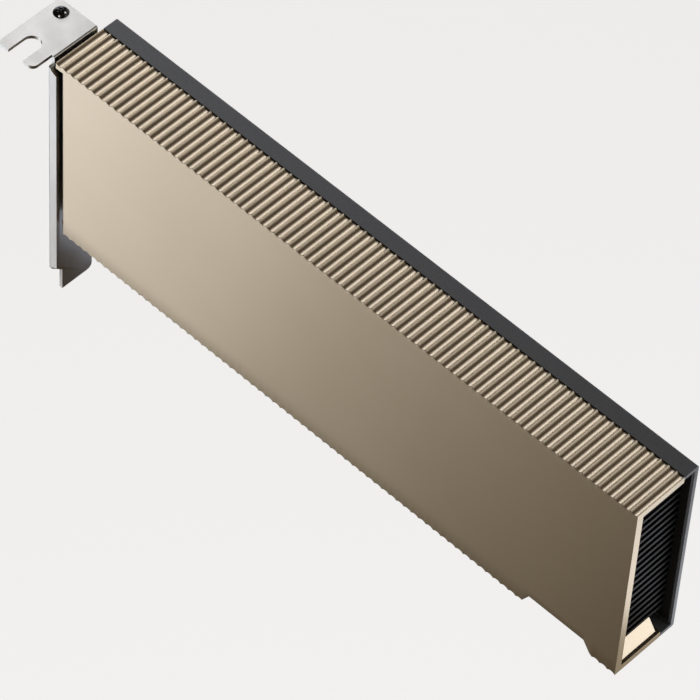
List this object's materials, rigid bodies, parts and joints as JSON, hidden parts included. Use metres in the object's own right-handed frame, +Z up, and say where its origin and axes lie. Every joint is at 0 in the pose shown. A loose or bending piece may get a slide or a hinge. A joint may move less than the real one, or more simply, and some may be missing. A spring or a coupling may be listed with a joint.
{
  "type": "passive accelerator card",
  "caption": "Low-profile single-slot server accelerator card with a ribbed open-ended cover, internal fin stack, tray backplate, edge connector and folded bracket.",
  "frame": {"origin": "On the bracket's outer face, level with the board's component face and its lower edge.", "axes": "+X from the bracket along the card, +Y through its thickness from the component side to the backplate, +Z up from the edge connector to the ribbed top edge."},
  "size_m": [0.1783, 0.023, 0.0796],
  "materials": {
    "champagne_metal": "fine satin anodised",
    "dark_grey_coat": "matt powder coat",
    "black_film": "matt film",
    "black_steel": "black zinc",
    "board_laminate": "solder mask",
    "gold_plating": "gold plated",
    "bare_silicon": "polished",
    "thermal_compound": "soft matt",
    "chip_resin": "moulded",
    "pressed_ferrite": "pressed",
    "capacitor_body": "moulded",
    "ceramic_body": "fired",
    "oscillator_can": "bright",
    "black_anodised": "black anodised",
    "bracket_steel": "zinc plated"
  },
  "bodies": {
    "root": {"cover": "champagne_metal", "backplate": "dark_grey_coat", "insulating_film": "black_film", "cover_screws": "black_steel", "circuit_board": "board_laminate", "edge_contacts_front": "gold_plating", "edge_contacts_back": "gold_plating", "processor_substrate": "board_laminate", "processor_die": "bare_silicon", "thermal_paste": "thermal_compound", "memory_chips": "chip_resin", "memory_pads": "thermal_compound", "power_stages": "chip_resin", "power_stage_pads": "thermal_compound", "inductors": "pressed_ferrite", "bulk_capacitors": "capacitor_body", "ceramic_capacitors_front": "ceramic_body", "ceramic_capacitors_back": "ceramic_body", "power_controller": "chip_resin", "management_chip": "chip_resin", "firmware_chip": "chip_resin", "clock_oscillator": "oscillator_can", "heatsink_base": "black_anodised", "heatsink_fins": "black_anodised", "heatsink_screws": "black_steel", "spring_washers": "black_steel", "bracket": "bracket_steel", "bracket_screws": "black_steel", "tab_screw": "black_steel"}
  },
  "joints": []
}
